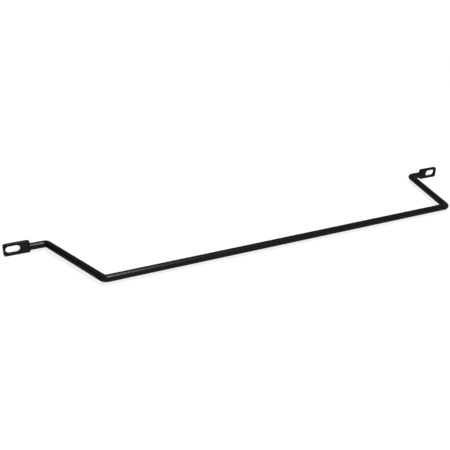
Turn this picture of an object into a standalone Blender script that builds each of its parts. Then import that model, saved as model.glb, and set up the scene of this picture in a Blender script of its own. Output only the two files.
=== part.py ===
"""Rack cable lacing bar: one steel rod, bent out from the rack on two legs and forged flat at both ends.

Metres, +Z up. X runs along the bar and +Y points from the bar back to the rack's rails. The origin is the
middle of the bar's own box. The half at +X is modelled and mirrored.
"""

import math

import bmesh
import bpy
from mathutils import Vector

# The rack that it screws to, and how far the bar stands off it.
SLOT_SPACING = 0.4651          # between the slots' centres: the hole lines of a 19 inch rack
BAR_STANDOFF = 0.0893          # from the face on the rack to the bar's centre line

# The round rod. A corner is where the centre lines of two straight runs would meet.
ROD_DIAMETER = 0.00635
NECK_LENGTH = 0.0140           # from the tab to the corner at the foot of the leg
LEG_LEAN = 0.0274              # how far inwards the leg runs from its foot to the bar
FOOT_INSIDE_RADIUS = 0.0004    # inside of the bend between neck and leg
BAR_INSIDE_RADIUS = 0.0010     # inside of the bend between leg and bar

# The flat tab, laid out around its slot.
SLOT_LENGTH = 0.0125
SLOT_WIDTH = 0.00635
END_WEB = 0.0020               # steel between the slot and the end of the tab
ROOT_WEB = 0.0085              # steel between the slot and the shoulder
SIDE_WEB = 0.0025              # steel above and below the slot
TAB_THICKNESS = 0.0029
TAB_CORNER_RADIUS = 0.0022
TAB_EDGE_RADIUS = 0.0004
TAB_BACK_PROUD = 0.00005       # the tab's back stands this far behind the rod, and seats first
SHOULDER_OVERHANG = 0.0012     # how far the rod's proud front runs on over the tab's front
SHOULDER_FILLET = 0.0005       # between the tab's front and the end of the rod's proud front

# How the round forms are divided.
ROD_SIDES = 32
BEND_STEPS = 14
CORNER_STEPS = 6
SLOT_END_STEPS = 16
EDGE_RESOLUTION = 1
UNION_DEPTH = 0.00002          # overlap that keeps joined faces from lying in one plane

COAT_COLOUR = (0.016, 0.016, 0.017, 1.0)
COAT_ROUGHNESS = 0.42
COAT_METALLIC = 0.0

# Places that follow from the sizes above.
rod_radius = ROD_DIAMETER / 2
rack_face_y = (BAR_STANDOFF + rod_radius) / 2
bar_y = rack_face_y - BAR_STANDOFF
neck_y = rack_face_y - TAB_BACK_PROUD - rod_radius
tab_front_y = rack_face_y - TAB_THICKNESS
slot_x = SLOT_SPACING / 2
tab_end_x = slot_x + SLOT_LENGTH / 2 + END_WEB
shoulder_x = slot_x - SLOT_LENGTH / 2 - ROOT_WEB
foot_x = shoulder_x - NECK_LENGTH
bar_corner_x = foot_x - LEG_LEAN
tab_height = SLOT_WIDTH + 2 * SIDE_WEB
pressed_x = shoulder_x + SHOULDER_OVERHANG
core_end_x = pressed_x + 2 * SHOULDER_FILLET


def new_collection(name):
    collection = bpy.data.collections.new(name)
    bpy.context.scene.collection.children.link(collection)
    return collection


def coat_material():
    """Black satin powder coat."""
    material = bpy.data.materials.new("black_powder_coat")
    material.use_nodes = True
    shader = material.node_tree.nodes["Principled BSDF"]
    shader.inputs["Base Color"].default_value = COAT_COLOUR
    shader.inputs["Roughness"].default_value = COAT_ROUGHNESS
    shader.inputs["Metallic"].default_value = COAT_METALLIC
    return material


def arc(centre, radius, start, end, steps):
    """Points on a circle in the plane, from one angle to the other."""
    angles = [start + (end - start) * step / steps for step in range(steps + 1)]
    return [(centre[0] + radius * math.cos(a), centre[1] + radius * math.sin(a)) for a in angles]


def bend(before, corner, after, radius, steps):
    """The round of a bent centre line: an arc that touches both straight runs at a corner."""
    into = (Vector(corner) - Vector(before)).normalized()
    out = (Vector(after) - Vector(corner)).normalized()
    turn = into.angle_signed(out)
    reach = radius * math.tan(abs(turn) / 2)
    side = math.copysign(1, turn)
    centre = Vector(corner) - into * reach + Vector((into.y, -into.x)) * side * radius
    start = math.atan2(into.x * side, -into.y * side)
    return arc(centre, radius, start, start - turn, steps)


def curve_solid(name, splines, collection, **settings):
    """A closed mesh from flat or swept poly splines, each a list of points and whether it is a loop."""
    curve = bpy.data.curves.new(name + "_lines", "CURVE")
    for key, value in settings.items():
        setattr(curve, key, value)
    for points, is_loop in splines:
        spline = curve.splines.new("POLY")
        spline.points.add(len(points) - 1)
        for point, place in zip(spline.points, points):
            point.co = (place[0], place[1], 0.0, 1.0)
        spline.use_cyclic_u = is_loop
    drawn = bpy.data.objects.new(name + "_lines", curve)
    bpy.context.scene.collection.objects.link(drawn)
    graph = bpy.context.evaluated_depsgraph_get()
    mesh = bpy.data.meshes.new_from_object(drawn.evaluated_get(graph))
    bpy.data.objects.remove(drawn)
    work = bmesh.new()
    work.from_mesh(mesh)
    bmesh.ops.remove_doubles(work, verts=work.verts, dist=1e-6)
    work.to_mesh(mesh)
    work.free()
    solid = bpy.data.objects.new(name, mesh)
    collection.objects.link(solid)
    return solid


def rod_half(collection):
    """The rod's half at +X, from just past the middle of the bar to its core inside the tab."""
    past_middle = (-ROD_DIAMETER, bar_y)
    bar_corner = (bar_corner_x, bar_y)
    foot = (foot_x, neck_y)
    core_end = (core_end_x, neck_y)
    line = [past_middle]
    line += bend(past_middle, bar_corner, foot, rod_radius + BAR_INSIDE_RADIUS, BEND_STEPS)
    line += bend(bar_corner, foot, core_end, rod_radius + FOOT_INSIDE_RADIUS, BEND_STEPS)
    line += [core_end]
    return curve_solid("lacing_bar", [(line, False)], collection, dimensions="3D", twist_mode="Z_UP",
                       bevel_depth=rod_radius, bevel_resolution=(ROD_SIDES - 4) // 2, use_fill_caps=True)


def rounded_corners(x_low, x_high, z_low, z_high, radius, steps):
    """A rectangle with four round corners, counter-clockwise."""
    centres = [(x_high - radius, z_high - radius), (x_low + radius, z_high - radius),
               (x_low + radius, z_low + radius), (x_high - radius, z_low + radius)]
    quarter = math.pi / 2
    outline = []
    for index, centre in enumerate(centres):
        outline += arc(centre, radius, index * quarter, (index + 1) * quarter, steps)
    return outline


def slot_outline():
    """The long hole with round ends, clockwise, so that its edges are softened as the outer ones are."""
    radius = SLOT_WIDTH / 2
    run = SLOT_LENGTH / 2 - radius
    quarter = math.pi / 2
    outline = arc((slot_x + run, 0.0), radius, quarter, -quarter, SLOT_END_STEPS)
    outline += arc((slot_x - run, 0.0), radius, -quarter, -3 * quarter, SLOT_END_STEPS)
    return outline


def forged_tab(collection):
    """The flat end: a plate with a slot, whose edges are all softened."""
    outline = rounded_corners(shoulder_x, tab_end_x, -tab_height / 2, tab_height / 2,
                              TAB_CORNER_RADIUS, CORNER_STEPS)
    tab = curve_solid("tab_stock", [(outline, True), (slot_outline(), True)], collection, dimensions="2D",
                      fill_mode="BOTH", extrude=TAB_THICKNESS / 2 - TAB_EDGE_RADIUS,
                      bevel_depth=TAB_EDGE_RADIUS, bevel_resolution=EDGE_RESOLUTION, offset=-TAB_EDGE_RADIUS)
    tab.rotation_euler = (math.pi / 2, 0.0, 0.0)
    tab.location = (0.0, rack_face_y - TAB_THICKNESS / 2, 0.0)
    return tab


def shoulder_cutter(collection):
    """What the press takes off the rod's front: all that is past the overhang, down to the tab's face."""
    floor_y = tab_front_y + UNION_DEPTH
    front_y = neck_y - ROD_DIAMETER
    outer_x = core_end_x + ROD_DIAMETER
    fillet_centre = (pressed_x + SHOULDER_FILLET, floor_y - SHOULDER_FILLET)
    outline = arc(fillet_centre, SHOULDER_FILLET, math.pi, math.pi / 2, CORNER_STEPS)
    outline += [(outer_x, floor_y), (outer_x, front_y), (pressed_x, front_y)]
    return curve_solid("shoulder_cutter", [(outline, True)], collection, dimensions="2D",
                       fill_mode="BOTH", extrude=ROD_DIAMETER)


def boolean(target, tool, operation):
    step = target.modifiers.new(operation.lower() + "_" + tool.name, "BOOLEAN")
    step.operation = operation
    step.object = tool
    step.solver = "EXACT"
    tool.hide_render = True
    tool.display_type = "WIRE"


for leftover in list(bpy.data.objects):
    bpy.data.objects.remove(leftover)

parts = new_collection("rack_cable_lacing_bar")
cutters = new_collection("cutters")

lacing_bar = rod_half(parts)
boolean(lacing_bar, shoulder_cutter(cutters), "DIFFERENCE")
boolean(lacing_bar, forged_tab(cutters), "UNION")
mirror = lacing_bar.modifiers.new("other_half", "MIRROR")
mirror.use_axis = (True, False, False)
mirror.use_bisect_axis = (True, False, False)
mirror.use_bisect_flip_axis = (False, False, False)
mirror.use_clip = False
mirror.merge_threshold = 1e-6
lacing_bar.data.materials.append(coat_material())
lacing_bar.data.shade_smooth()
lacing_bar.data.set_sharp_from_angle(angle=math.radians(30))
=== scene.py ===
import math

import bpy
import numpy as np
from mathutils import Matrix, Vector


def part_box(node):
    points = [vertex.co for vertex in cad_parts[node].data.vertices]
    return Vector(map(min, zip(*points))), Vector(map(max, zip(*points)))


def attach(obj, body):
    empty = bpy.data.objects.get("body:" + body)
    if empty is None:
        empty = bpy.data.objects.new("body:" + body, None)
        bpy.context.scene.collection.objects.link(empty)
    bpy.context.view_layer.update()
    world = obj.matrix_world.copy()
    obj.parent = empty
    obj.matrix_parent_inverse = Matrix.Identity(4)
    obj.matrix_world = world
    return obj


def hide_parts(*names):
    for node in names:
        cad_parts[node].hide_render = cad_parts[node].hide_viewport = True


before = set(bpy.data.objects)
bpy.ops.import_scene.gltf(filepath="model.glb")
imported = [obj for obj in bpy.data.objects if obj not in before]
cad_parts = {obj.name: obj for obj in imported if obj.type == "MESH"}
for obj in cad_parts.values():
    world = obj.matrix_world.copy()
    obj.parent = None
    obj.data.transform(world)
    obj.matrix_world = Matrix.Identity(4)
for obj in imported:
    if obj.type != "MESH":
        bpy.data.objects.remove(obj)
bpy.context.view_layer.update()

# The camera stands in front of the left tab and above it, and looks over the bar towards its right end.
# Its place, direction and focal length come from the bar's outline in a picture 450 pixels wide.
PICTURE_WIDTH = 450.0
FOCAL_PIXELS = 657.32
SENSOR_WIDTH = 36.0
CAMERA_PLACE = (-0.29006, -0.49817, 0.24773)
CAMERA_TURN = 0.44953          # from +Y towards +X, in radians
CAMERA_TILT = 0.41285          # below the horizon

lens = bpy.data.cameras.new("camera")
lens.sensor_width = SENSOR_WIDTH
lens.lens = SENSOR_WIDTH * FOCAL_PIXELS / PICTURE_WIDTH
camera = bpy.data.objects.new("camera", lens)
camera.location = CAMERA_PLACE
camera.rotation_euler = (math.pi / 2 - CAMERA_TILT, 0.0, -CAMERA_TURN)
bpy.context.collection.objects.link(camera)
bpy.context.scene.camera = camera
bpy.context.scene.view_settings.view_transform = "Standard"

# The bar: quarter inch round steel, cold bent four times, so that its middle stands off the rack on two
# legs that lean inwards. Each end is pressed flat to a tab and punched with a long slot for the rack's
# screw, and the whole is powder coated in satin black, which softens every edge.
low, high = (np.array(corner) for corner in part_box("lacing_bar"))
RADIUS = 0.003175
BAR_CORNER_X = 0.1764          # where the centre lines of bar and leg would cross
FOOT_X = 0.2038                # where those of leg and neck would cross
BAR_BEND = 0.004175            # radius of the bent centre line between bar and leg
FOOT_BEND = 0.003575           # and between leg and neck
FLUSH = 0.00005                # how far the tab's back stands behind the rod
PLATE = 0.0029                 # thickness of the tab
TAB_CORNER = 0.0022            # radius of its corners, seen from the front
SHOULDER_X = 0.2178            # inner end of the tab
OVERHANG = 0.0012              # how far the rod's front runs on over the tab's face
SLOT_X = 0.23255               # middle of the slot
SLOT_RADIUS = 0.003175
SLOT_RUN = 0.003075            # from the middle of the slot to the centre of its round end
EDGE_ROUND = 0.0004            # edges of the tab and of its slot
RIM_ROUND = 0.0003             # front rim of the shoulder
FILLET = 0.0005                # foot of the shoulder

neck_y = high[1] - FLUSH - RADIUS
bar_y = low[1] + RADIUS
face_y = high[1] - PLATE
tab_middle = np.array([(SHOULDER_X + high[0]) / 2, high[1] - PLATE / 2, 0.0])
tab_half = np.array([(high[0] - SHOULDER_X) / 2, PLATE / 2, high[2]])


def both(a, b, radius):
    """Where two solids overlap, as a signed distance: the larger of the two distances, with the sharp edge
    between them rounded to a quarter circle of the radius."""
    sharp = np.minimum(np.maximum(a, b), -radius)
    return sharp + np.hypot(np.maximum(a + radius, 0), np.maximum(b + radius, 0))


def either(a, b, radius):
    """Two solids joined, as a signed distance: the smaller of the two distances, with the inner corner
    between them filled by a quarter circle of the radius."""
    sharp = np.maximum(np.minimum(a, b), radius)
    return sharp - np.hypot(np.maximum(radius - a, 0), np.maximum(radius - b, 0))


def forged_end(points):
    """Signed distance to the bar's right end. The rod is a cylinder cut square where its overhang ends. The
    tab is a plate with round corners, |offset| - half size + corner, less a slot, which is every point
    nearer to the slot's axis than its radius. Nothing stands behind the tab's back."""
    x, y, z = points[..., 0], points[..., 1], points[..., 2]
    rod = both(np.hypot(y - neck_y, z) - RADIUS, x - SHOULDER_X - OVERHANG, RIM_ROUND)
    over_x = np.abs(x - tab_middle[0]) - tab_half[0] + TAB_CORNER
    over_z = np.abs(z) - tab_half[2] + TAB_CORNER
    plan = np.hypot(np.maximum(over_x, 0), np.maximum(over_z, 0)) - TAB_CORNER
    plan += np.minimum(np.maximum(over_x, over_z), 0)
    slot = np.hypot(np.maximum(np.abs(x - SLOT_X) - SLOT_RUN, 0), z) - SLOT_RADIUS
    tab = both(np.maximum(plan, -slot), np.abs(y - tab_middle[1]) - tab_half[1], EDGE_ROUND)
    return np.maximum(either(rod, tab, FILLET), y - high[1])


def outward(points):
    """Direction in which the distance grows fastest, from differences of one micrometre either way."""
    slope = np.stack([forged_end(points + step) - forged_end(points - step)
                      for step in np.eye(3) * 1e-6], axis=-1)
    return slope / np.maximum(np.linalg.norm(slope, axis=-1, keepdims=True), 1e-12)


def onto_surface(points, passes=6):
    """Points moved against that direction by the distance itself, a few times over."""
    for _ in range(passes):
        points = points - forged_end(points)[..., None] * outward(points)
    return points


def smooth(share):
    """A share from 0 to 1 with level ends: 3 share^2 - 2 share^3."""
    return share * share * (3 - 2 * share)


# The tab is a ring of faces round its slot. Its columns cross the plate, and its rows run round it.
CORNER_STEPS = 12              # faces round each corner, seen from the front
TOP_RUN = 35                   # faces along the straight top and bottom
INNER_RUN = 26                 # along the straight inner end
OUTER_RUN = 14                 # and along the outer end
EDGE_STEPS = 4                 # faces over each rounded edge
WALL_STEPS = 5                 # faces over the flat side between two edges
FACE_ROWS = (0.03, 0.12, 0.24, 0.37, 0.5, 0.63, 0.76, 0.88)        # rows on the flat, from slot to side


def tab_outline(runs):
    """The tab seen from the front, as points and outward normals, counter-clockwise: four quarter circles,
    and after each a straight run with the number of faces given in runs."""
    centre, half = tab_middle[[0, 2]], tab_half[[0, 2]] - TAB_CORNER
    places, normals = [], []
    for quarter, faces in enumerate(runs):
        turn = (quarter + np.linspace(0, 1, CORNER_STEPS + 1)) * math.pi / 2
        normal = np.stack([np.cos(turn), np.sin(turn)], axis=1)
        sign = np.sign(normal[CORNER_STEPS // 2])
        corner = centre + sign * half + TAB_CORNER * normal
        onward = centre + np.array([-sign[1], sign[0]]) * half + TAB_CORNER * normal[-1]
        between = np.linspace(0, 1, faces + 1)[1:-1, None]
        places += [corner, corner[-1] + between * (onward - corner[-1])]
        normals += [normal, np.tile(normal[-1], (faces - 1, 1))]
    return np.vstack(places), np.vstack(normals)


def tab_ring(outer, out):
    """The ring's rows, first to last: over the slot's front edge, across the front, round the outer edge,
    back across the rear and through the slot. A point of the slot is the one that faces its point of the
    outline, seen from the slot's axis. A rounded edge is a quarter circle."""
    axis = np.stack([np.clip(outer[:, 0], SLOT_X - SLOT_RUN, SLOT_X + SLOT_RUN), 0 * outer[:, 1]], axis=1)
    away = (outer - axis) / np.linalg.norm(outer - axis, axis=1)[:, None]
    inner = axis + SLOT_RADIUS * away
    quarter = np.linspace(0, math.pi / 2, EDGE_STEPS + 1)
    rise, inset = EDGE_ROUND * (1 - np.sin(quarter)), EDGE_ROUND * (1 - np.cos(quarter))
    start, stop = inner + EDGE_ROUND * away, outer - EDGE_ROUND * out
    flat = [start + share * (stop - start) for share in FACE_ROWS]
    wall = np.linspace(face_y + EDGE_ROUND, high[1] - EDGE_ROUND, WALL_STEPS + 1)[1:-1]
    rows = [(inner + i * away, face_y + r) for r, i in zip(rise, inset)]
    rows += [(place, face_y) for place in flat]
    rows += [(outer - i * out, face_y + r) for r, i in zip(rise[::-1], inset[::-1])]
    rows += [(outer, y) for y in wall]
    rows += [(outer - i * out, high[1] - r) for r, i in zip(rise, inset)]
    rows += [(place, high[1]) for place in flat[::-1]]
    rows += [(inner + i * away, high[1] - r) for r, i in zip(rise[::-1], inset[::-1])]
    rows += [(inner, y) for y in wall[::-1]]
    return np.array([np.stack([p[:, 0], np.full(len(p), y), p[:, 1]], axis=1) for p, y in rows])


outline, outline_normals = tab_outline((TOP_RUN, INNER_RUN, TOP_RUN, OUTER_RUN))
ring = onto_surface(tab_ring(outline, outline_normals))
ring_rows, ring_columns = ring.shape[:2]

# The rod comes out of a patch of the ring at the tab's inner end, which reaches from the front face over
# the edge to the rear and round a part of both corners. The rod's columns end on the patch's outline.
CORNER_PART = 4                # the patch's faces on each corner
FLAT_PART = 2                  # its rows on the front face, and on the rear
patch_width = INNER_RUN + 2 * CORNER_PART
patch_left = CORNER_STEPS + TOP_RUN + CORNER_STEPS - CORNER_PART
patch_right = patch_left + patch_width
stops = np.cumsum([0, FLAT_PART, EDGE_STEPS, WALL_STEPS, EDGE_STEPS + FLAT_PART])
patch_height = stops[-1]
patch_top = EDGE_STEPS + 1 + len(FACE_ROWS) - FLAT_PART
patch_bottom = patch_top + patch_height
down, along = np.arange(patch_top, patch_bottom + 1), np.arange(patch_left, patch_right + 1)
patch = np.vstack([np.stack([np.full(patch_width, patch_top), along[:-1]], axis=1),
                   np.stack([down[:-1], np.full(patch_height, patch_right)], axis=1),
                   np.stack([np.full(patch_width, patch_bottom), along[:0:-1]], axis=1),
                   np.stack([down[:0:-1], np.full(patch_height, patch_left)], axis=1)])
columns = len(patch)

# Where the rod's columns stand, as angles from the rod's front towards its top. The columns that end on
# the rounding of the tab's front edge leave the rod at their own depth, where the cosine is depth / radius.
FRONT_TURN = math.radians(86)              # of the columns that end on the patch's front corners
REAR_EDGE_TURN = math.radians(135)         # where the rounding of the rear edge begins
REAR_TURN = math.radians(145)              # and of the rear corners
edge_turns = np.arccos((neck_y - face_y - np.array([0, EDGE_ROUND])) / RADIUS)
turns = np.array([FRONT_TURN, *edge_turns, REAR_EDGE_TURN, REAR_TURN])
far_stops = 2 * patch_width + patch_height + (patch_height - stops)[::-1]
angle = np.interp(np.arange(columns),
                  np.concatenate([[0], patch_width + stops, far_stops]),
                  np.concatenate([turns[:1], -turns, turns[::-1] - 2 * math.pi]))

# The round rod up to a little before the shoulder, where its rows begin to bend towards the tab's outline.
RUN_STEP = 0.004               # longest face on the straight runs
BEND_ROWS = 22                 # rows over each bend
SHOULDER_ZONE = 0.0032         # length of rod whose rows bend


def bent_line(corners, radii):
    """A centre line as rows of (x, y) and its direction: straight runs, and at each inner corner an arc that
    touches both runs, from radius * tan(turn / 2) before the corner to the same length after it."""
    corners = np.array(corners)
    ways = np.diff(corners, axis=0)
    ways /= np.linalg.norm(ways, axis=1)[:, None]
    rows, directions, last = [], [], corners[0]
    for corner, radius, into, onto in zip(corners[1:-1], radii, ways, ways[1:]):
        turn = math.acos(into @ onto)
        side = np.sign(into[0] * onto[1] - into[1] * onto[0])
        start = corner - into * radius * math.tan(turn / 2)
        faces = max(2, int(np.linalg.norm(start - last) / RUN_STEP))
        run = np.linspace(0, 1, faces, endpoint=False)[:, None]
        sweep = turn * np.linspace(0, 1, BEND_ROWS)[:, None]
        normal = side * np.array([-into[1], into[0]])
        rows += [last + run * (start - last),
                 start + radius * (np.sin(sweep) * into + (1 - np.cos(sweep)) * normal)]
        directions += [np.tile(into, (len(run), 1)), np.cos(sweep) * into + np.sin(sweep) * normal]
        last = rows[-1][-1]
    run = np.linspace(0, 1, max(3, int(np.linalg.norm(corners[-1] - last) / RUN_STEP * 2)))[1:, None]
    rows.append(last + run * (corners[-1] - last))
    directions.append(np.tile(ways[-1], (len(run), 1)))
    return np.vstack(rows), np.vstack(directions)


line, way = bent_line([(0, bar_y), (BAR_CORNER_X, bar_y), (FOOT_X, neck_y),
                       (SHOULDER_X - SHOULDER_ZONE, neck_y)], (BAR_BEND, FOOT_BEND))
frontward = np.stack([way[:, 1], -way[:, 0]], axis=1)
round_part = np.dstack([line[:, None] + RADIUS * np.cos(angle)[None, :, None] * frontward[:, None],
                        np.broadcast_to(RADIUS * np.sin(angle), (len(line), columns))])

# The shoulder's rows run straight to the rod's end, then over it to the patch. The end lies further out
# where the rod stands proud of the tab. Each row is laid on the surface and eased between its neighbours
# in turn, so that the faces are even where round becomes flat.
ROWS_BEFORE_END = 8
ROWS_OVER_END = 14
EASING_PASSES = 40
last_round = round_part[-1]
proud = np.clip((face_y - last_round[:, 1]) / (2 * FILLET), 0, 1)
rod_end = last_round.copy()
rod_end[:, 0] = SHOULDER_X - FILLET + (OVERHANG + FILLET) * smooth(proud)
patch_outline = ring[patch[:, 0], patch[:, 1]]
before = np.linspace(0, 1, ROWS_BEFORE_END + 1)[1:, None, None]
over = np.linspace(0, 1, ROWS_OVER_END + 1)[1:, None, None]
shoulder = onto_surface(np.vstack([last_round + before * (rod_end - last_round),
                                   rod_end + over * (patch_outline - rod_end)]))
shoulder[-1] = patch_outline
for _ in range(EASING_PASSES):
    fixed = np.vstack([last_round[None], shoulder])
    eased = 0.25 * (fixed[:-2] + fixed[2:])
    eased += 0.25 * (np.roll(fixed[1:-1], 1, axis=1) + np.roll(fixed[1:-1], -1, axis=1))
    shoulder[:-1] = onto_surface(0.5 * shoulder[:-1] + 0.5 * eased, 3)

# One net of quads: the rod's rows, the shoulder's, and the ring's without the patch. The left half is the
# right one mirrored, and both share the rod's first row.
rod_rows = np.vstack([round_part, shoulder[:-1]])
rod_points = rod_rows.reshape(-1, 3)
ring_index = len(rod_points) + np.arange(ring_rows * ring_columns).reshape(ring_rows, ring_columns)
rod_index = np.vstack([np.arange(len(rod_points)).reshape(len(rod_rows), columns),
                       ring_index[patch[:, 0], patch[:, 1]][None]])
next_column = np.roll(rod_index, -1, axis=1)
rod_quads = np.stack([rod_index[:-1], next_column[:-1], next_column[1:], rod_index[1:]], axis=-1)
ring_below, ring_beside = np.roll(ring_index, -1, axis=0), np.roll(ring_index, -1, axis=1)
ring_quads = np.stack([ring_index, ring_below, np.roll(ring_beside, -1, axis=0), ring_beside], axis=-1)
outside_patch = np.ones((ring_rows, ring_columns), bool)
outside_patch[patch_top:patch_bottom, patch_left:patch_right] = False
half_points = np.vstack([rod_points, ring.reshape(-1, 3)])
half_quads = np.vstack([rod_quads.reshape(-1, 4), ring_quads[outside_patch]])
used = np.zeros(len(half_points), bool)
used[half_quads] = True
half_points, half_quads = half_points[used], (np.cumsum(used) - 1)[half_quads]
own = np.arange(len(half_points)) >= columns
mirrored = np.arange(len(half_points)) + own * own.sum()
points = np.vstack([half_points, half_points[own] * (-1, 1, 1)])
quads = np.vstack([half_quads, mirrored[half_quads][:, ::-1]])
net = bpy.data.meshes.new("bar_net")
net.from_pydata(points.tolist(), [], quads.tolist())
net.shade_smooth()
bar = bpy.data.objects.new("lacing_bar_coated", net)
bpy.context.collection.objects.link(bar)

# Powder draws back from the tab's sharp edges while it melts, and flows out thinner and smoother there.
EDGE_DEPTH = 0.0007            # how far from an edge the thinner coat begins
EDGE_SHORTFALL = 0.12          # what thin_coat's measure comes to in the middle of a rounded edge


def thin_coat(places):
    """How thin the coat is, 0 to 1, for points with x above 0. A step straight into the steel ends nearer to
    the next face at an edge than elsewhere, and the shortfall, as a share of the step, is the measure."""
    shortfall = 1 + forged_end(places - EDGE_DEPTH * outward(places)) / EDGE_DEPTH
    share = smooth(np.clip(shortfall / EDGE_SHORTFALL, 0, 1))
    return np.where(places[:, 0] > SHOULDER_X - FILLET, share, 0)


thinness = thin_coat(np.column_stack([np.abs(points[:, 0]), points[:, 1:]]))
net.attributes.new("thin_coat", "FLOAT", "POINT").data.foreach_set("value", thinness)


class Shade:
    """One value in a node tree of the coat, the paper or the room. Sums, differences and products of two of
    them, or of one and a number, add Math nodes."""

    def __init__(self, tree, socket=None):
        self.tree, self.socket = tree, socket

    def node(self, kind, settings=(), inputs=(), output=0):
        """A node of the given type. Its settings are made first, then its sockets get values or links."""
        made = self.tree.nodes.new(kind)
        for name, setting in dict(settings).items():
            setattr(made, name, setting)
        for name, value in dict(inputs).items():
            if isinstance(value, Shade):
                self.tree.links.new(value.socket, made.inputs[name])
            else:
                made.inputs[name].default_value = value
        return Shade(self.tree, made.outputs[output])

    def math(self, operation, first, second):
        return self.node("ShaderNodeMath", {"operation": operation}, {0: first, 1: second})

    def blend(self, first, second):
        """The first colour where this value is 0, the second where it is 1."""
        return self.node("ShaderNodeMix", {"data_type": "RGBA"},
                         {"Factor": self, 6: first, 7: second}, output=2)

    def between(self, low_end, high_end, first, second):
        """The first number up to the low end, the second from the high end, and a smooth change between."""
        return self.node("ShaderNodeMapRange", {"interpolation_type": "SMOOTHSTEP"},
                         {"Value": self, "From Min": low_end, "From Max": high_end,
                          "To Min": first, "To Max": second})

    def __add__(self, other):
        return self.math("ADD", self, other)

    def __sub__(self, other):
        return self.math("SUBTRACT", self, other)

    def __rsub__(self, other):
        return self.math("SUBTRACT", other, self)

    def __mul__(self, other):
        return self.math("MULTIPLY", self, other)

    __radd__, __rmul__ = __add__, __mul__

    def feed(self, shader, name):
        self.tree.links.new(self.socket, shader.inputs[name])


# The coat hardly gains gloss where it is seen from the side. A dark metal with a low edge tint does the
# same, and the rest of the mix is plain black paint.
METAL_SHARE = 0.85
EDGE_TINT = 0.46
DEEP_BLACK = (0.0150, 0.0150, 0.0154, 1)
PALE_BLACK = (0.0170, 0.0170, 0.0175, 1)
THIN_BLACK = (0.0220, 0.0220, 0.0225, 1)
PEEL_HEIGHT = 0.024            # in millimetres
GRAIN_HEIGHT = 0.002
coat = bpy.data.materials.new("powder_coat_satin_black")
coat.use_nodes = True
coat_tree = Shade(coat.node_tree)
coat_shader = coat.node_tree.nodes["Principled BSDF"]
coat_shader.inputs["Metallic"].default_value = METAL_SHARE
coat_shader.inputs["Specular IOR Level"].default_value = 0.5
coat_shader.inputs["Specular Tint"].default_value = (EDGE_TINT, EDGE_TINT, EDGE_TINT, 1)
place_on_bar = coat_tree.node("ShaderNodeTexCoord", output="Object")


def cloud(scale, detail):
    """Soft noise from 0 to 1, whose lumps are about 1 / scale metres wide."""
    return coat_tree.node("ShaderNodeTexNoise", {"noise_dimensions": "3D"},
                          {"Vector": place_on_bar, "Scale": scale, "Detail": detail, "Roughness": 0.5})


mottle = cloud(70.0, 2.0)      # uneven film, in patches of 14 mm
peel = cloud(520.0, 1.0)       # orange peel of 2 mm
grain = cloud(4200.0, 2.0)     # grain of the powder, a quarter of a millimetre
thin = coat_tree.node("ShaderNodeAttribute", {"attribute_name": "thin_coat"}, output="Fac")
black = mottle.blend(DEEP_BLACK, PALE_BLACK)
(thin * (0.05 + grain * 0.2)).blend(black, THIN_BLACK).feed(coat_shader, "Base Color")
(0.235 + mottle * 0.04 + grain * 0.03 - thin * 0.09).feed(coat_shader, "Roughness")
height = peel * (1 - thin * 0.5) * PEEL_HEIGHT + grain * GRAIN_HEIGHT
coat_tree.node("ShaderNodeBump", {}, {"Distance": 0.001, "Height": height}).feed(coat_shader, "Normal")
net.materials.append(coat)

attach(bar, "root")
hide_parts("lacing_bar")

# The floor is a wide sheet of white paper on which the tabs stand. It glows up to white for the camera, a
# little more far out, where the lamp lights it less, and somewhat less in the coat's gloss. The part of
# its light that comes from the lamp keeps the bar's shadow.
FLOOR_HALF = 12.0
PAPER = 0.22
GLOW_NEAR = 0.80
GLOW_FAR = 0.93
NEAR = 0.3
FAR = 1.8
GLOW_IN_GLOSS = 0.52
corners = [(-FLOOR_HALF, -FLOOR_HALF), (FLOOR_HALF, -FLOOR_HALF),
           (FLOOR_HALF, FLOOR_HALF), (-FLOOR_HALF, FLOOR_HALF)]
sheet = bpy.data.meshes.new("floor")
sheet.from_pydata([(x, y, low[2]) for x, y in corners], [], [(0, 1, 2, 3)])
floor = bpy.data.objects.new("floor", sheet)
bpy.context.collection.objects.link(floor)

paper = bpy.data.materials.new("floor_paper")
paper.use_nodes = True
paper_tree = Shade(paper.node_tree)
paper_shader = paper.node_tree.nodes["Principled BSDF"]
paper_shader.inputs["Base Color"].default_value = (PAPER, PAPER, PAPER, 1)
paper_shader.inputs["Roughness"].default_value = 1.0
paper_shader.inputs["Specular IOR Level"].default_value = 0.0
paper_shader.inputs["Emission Color"].default_value = (1, 1, 1, 1)
for_camera = paper_tree.node("ShaderNodeLightPath", output="Is Camera Ray")
in_gloss = paper_tree.node("ShaderNodeLightPath", output="Is Glossy Ray")
through_glass = paper_tree.node("ShaderNodeLightPath", output="Is Transmission Ray")
place_on_floor = paper_tree.node("ShaderNodeTexCoord", output="Object")
distance = paper_tree.node("ShaderNodeVectorMath", {"operation": "LENGTH"}, {0: place_on_floor}, output=1)
glow = for_camera * distance.between(NEAR, FAR, GLOW_NEAR, GLOW_FAR)
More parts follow.
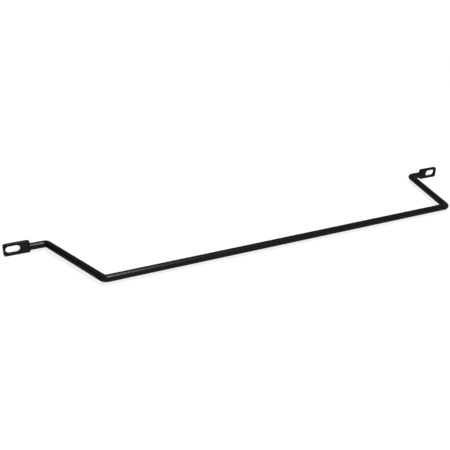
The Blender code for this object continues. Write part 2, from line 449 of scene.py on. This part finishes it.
glow += paper_tree.math("MAXIMUM", in_gloss, through_glass) * GLOW_IN_GLOSS
glow.feed(paper_shader, "Emission Strength")
sheet.materials.append(paper)

# A long narrow lamp hangs above the bar and in front of it, and runs from front to back. Its reflection is
# the streak on the rod's left end.
LAMP_PLACE = np.array([0.0098, -0.4928, 1.0966])
LAMP_AIM = np.array([-0.15, 0.0, 0.0])
LAMP_WIDTH = 0.154
LAMP_LENGTH = 1.154
LAMP_RADIANCE = 27.0
lamp = bpy.data.lights.new("strip_lamp", "AREA")
lamp.shape = "RECTANGLE"
lamp.size, lamp.size_y = LAMP_WIDTH, LAMP_LENGTH
lamp.energy = LAMP_RADIANCE * math.pi * LAMP_WIDTH * LAMP_LENGTH
backward = (LAMP_PLACE - LAMP_AIM) / np.linalg.norm(LAMP_PLACE - LAMP_AIM)
sideways = np.cross((0, 1, 0), backward)
sideways /= np.linalg.norm(sideways)
stand = Matrix(np.stack([sideways, np.cross(backward, sideways), backward], axis=1).tolist()).to_4x4()
stand.translation = LAMP_PLACE.tolist()
strip = bpy.data.objects.new("strip_lamp", lamp)
strip.matrix_world = stand
bpy.context.collection.objects.link(strip)

# The room is even and grey in the light and in the gloss, darker in one corner behind the left end, and
# white for the camera.
ROOM = 0.51
DARK = 0.20
DARK_CORNER = (-0.72, 0.68, 0.14)
CORNER_BEGINS = 0.70           # cosines of the angle from the dark corner's middle
CORNER_FULL = 0.98
world = bpy.data.worlds.new("room")
bpy.context.scene.world = world
world.use_nodes = True
room_tree = Shade(world.node_tree)
heading = room_tree.node("ShaderNodeTexCoord", output="Generated")
cosine = room_tree.node("ShaderNodeVectorMath", {"operation": "DOT_PRODUCT"},
                        {0: heading, 1: DARK_CORNER}, output=1)
walls = cosine.between(CORNER_BEGINS, CORNER_FULL, ROOM, DARK)
seen = room_tree.node("ShaderNodeLightPath", output="Is Camera Ray")
background = world.node_tree.nodes["Background"]
background.inputs["Color"].default_value = (1, 1, 1, 1)
room_tree.math("MAXIMUM", walls, seen).feed(background, "Strength")
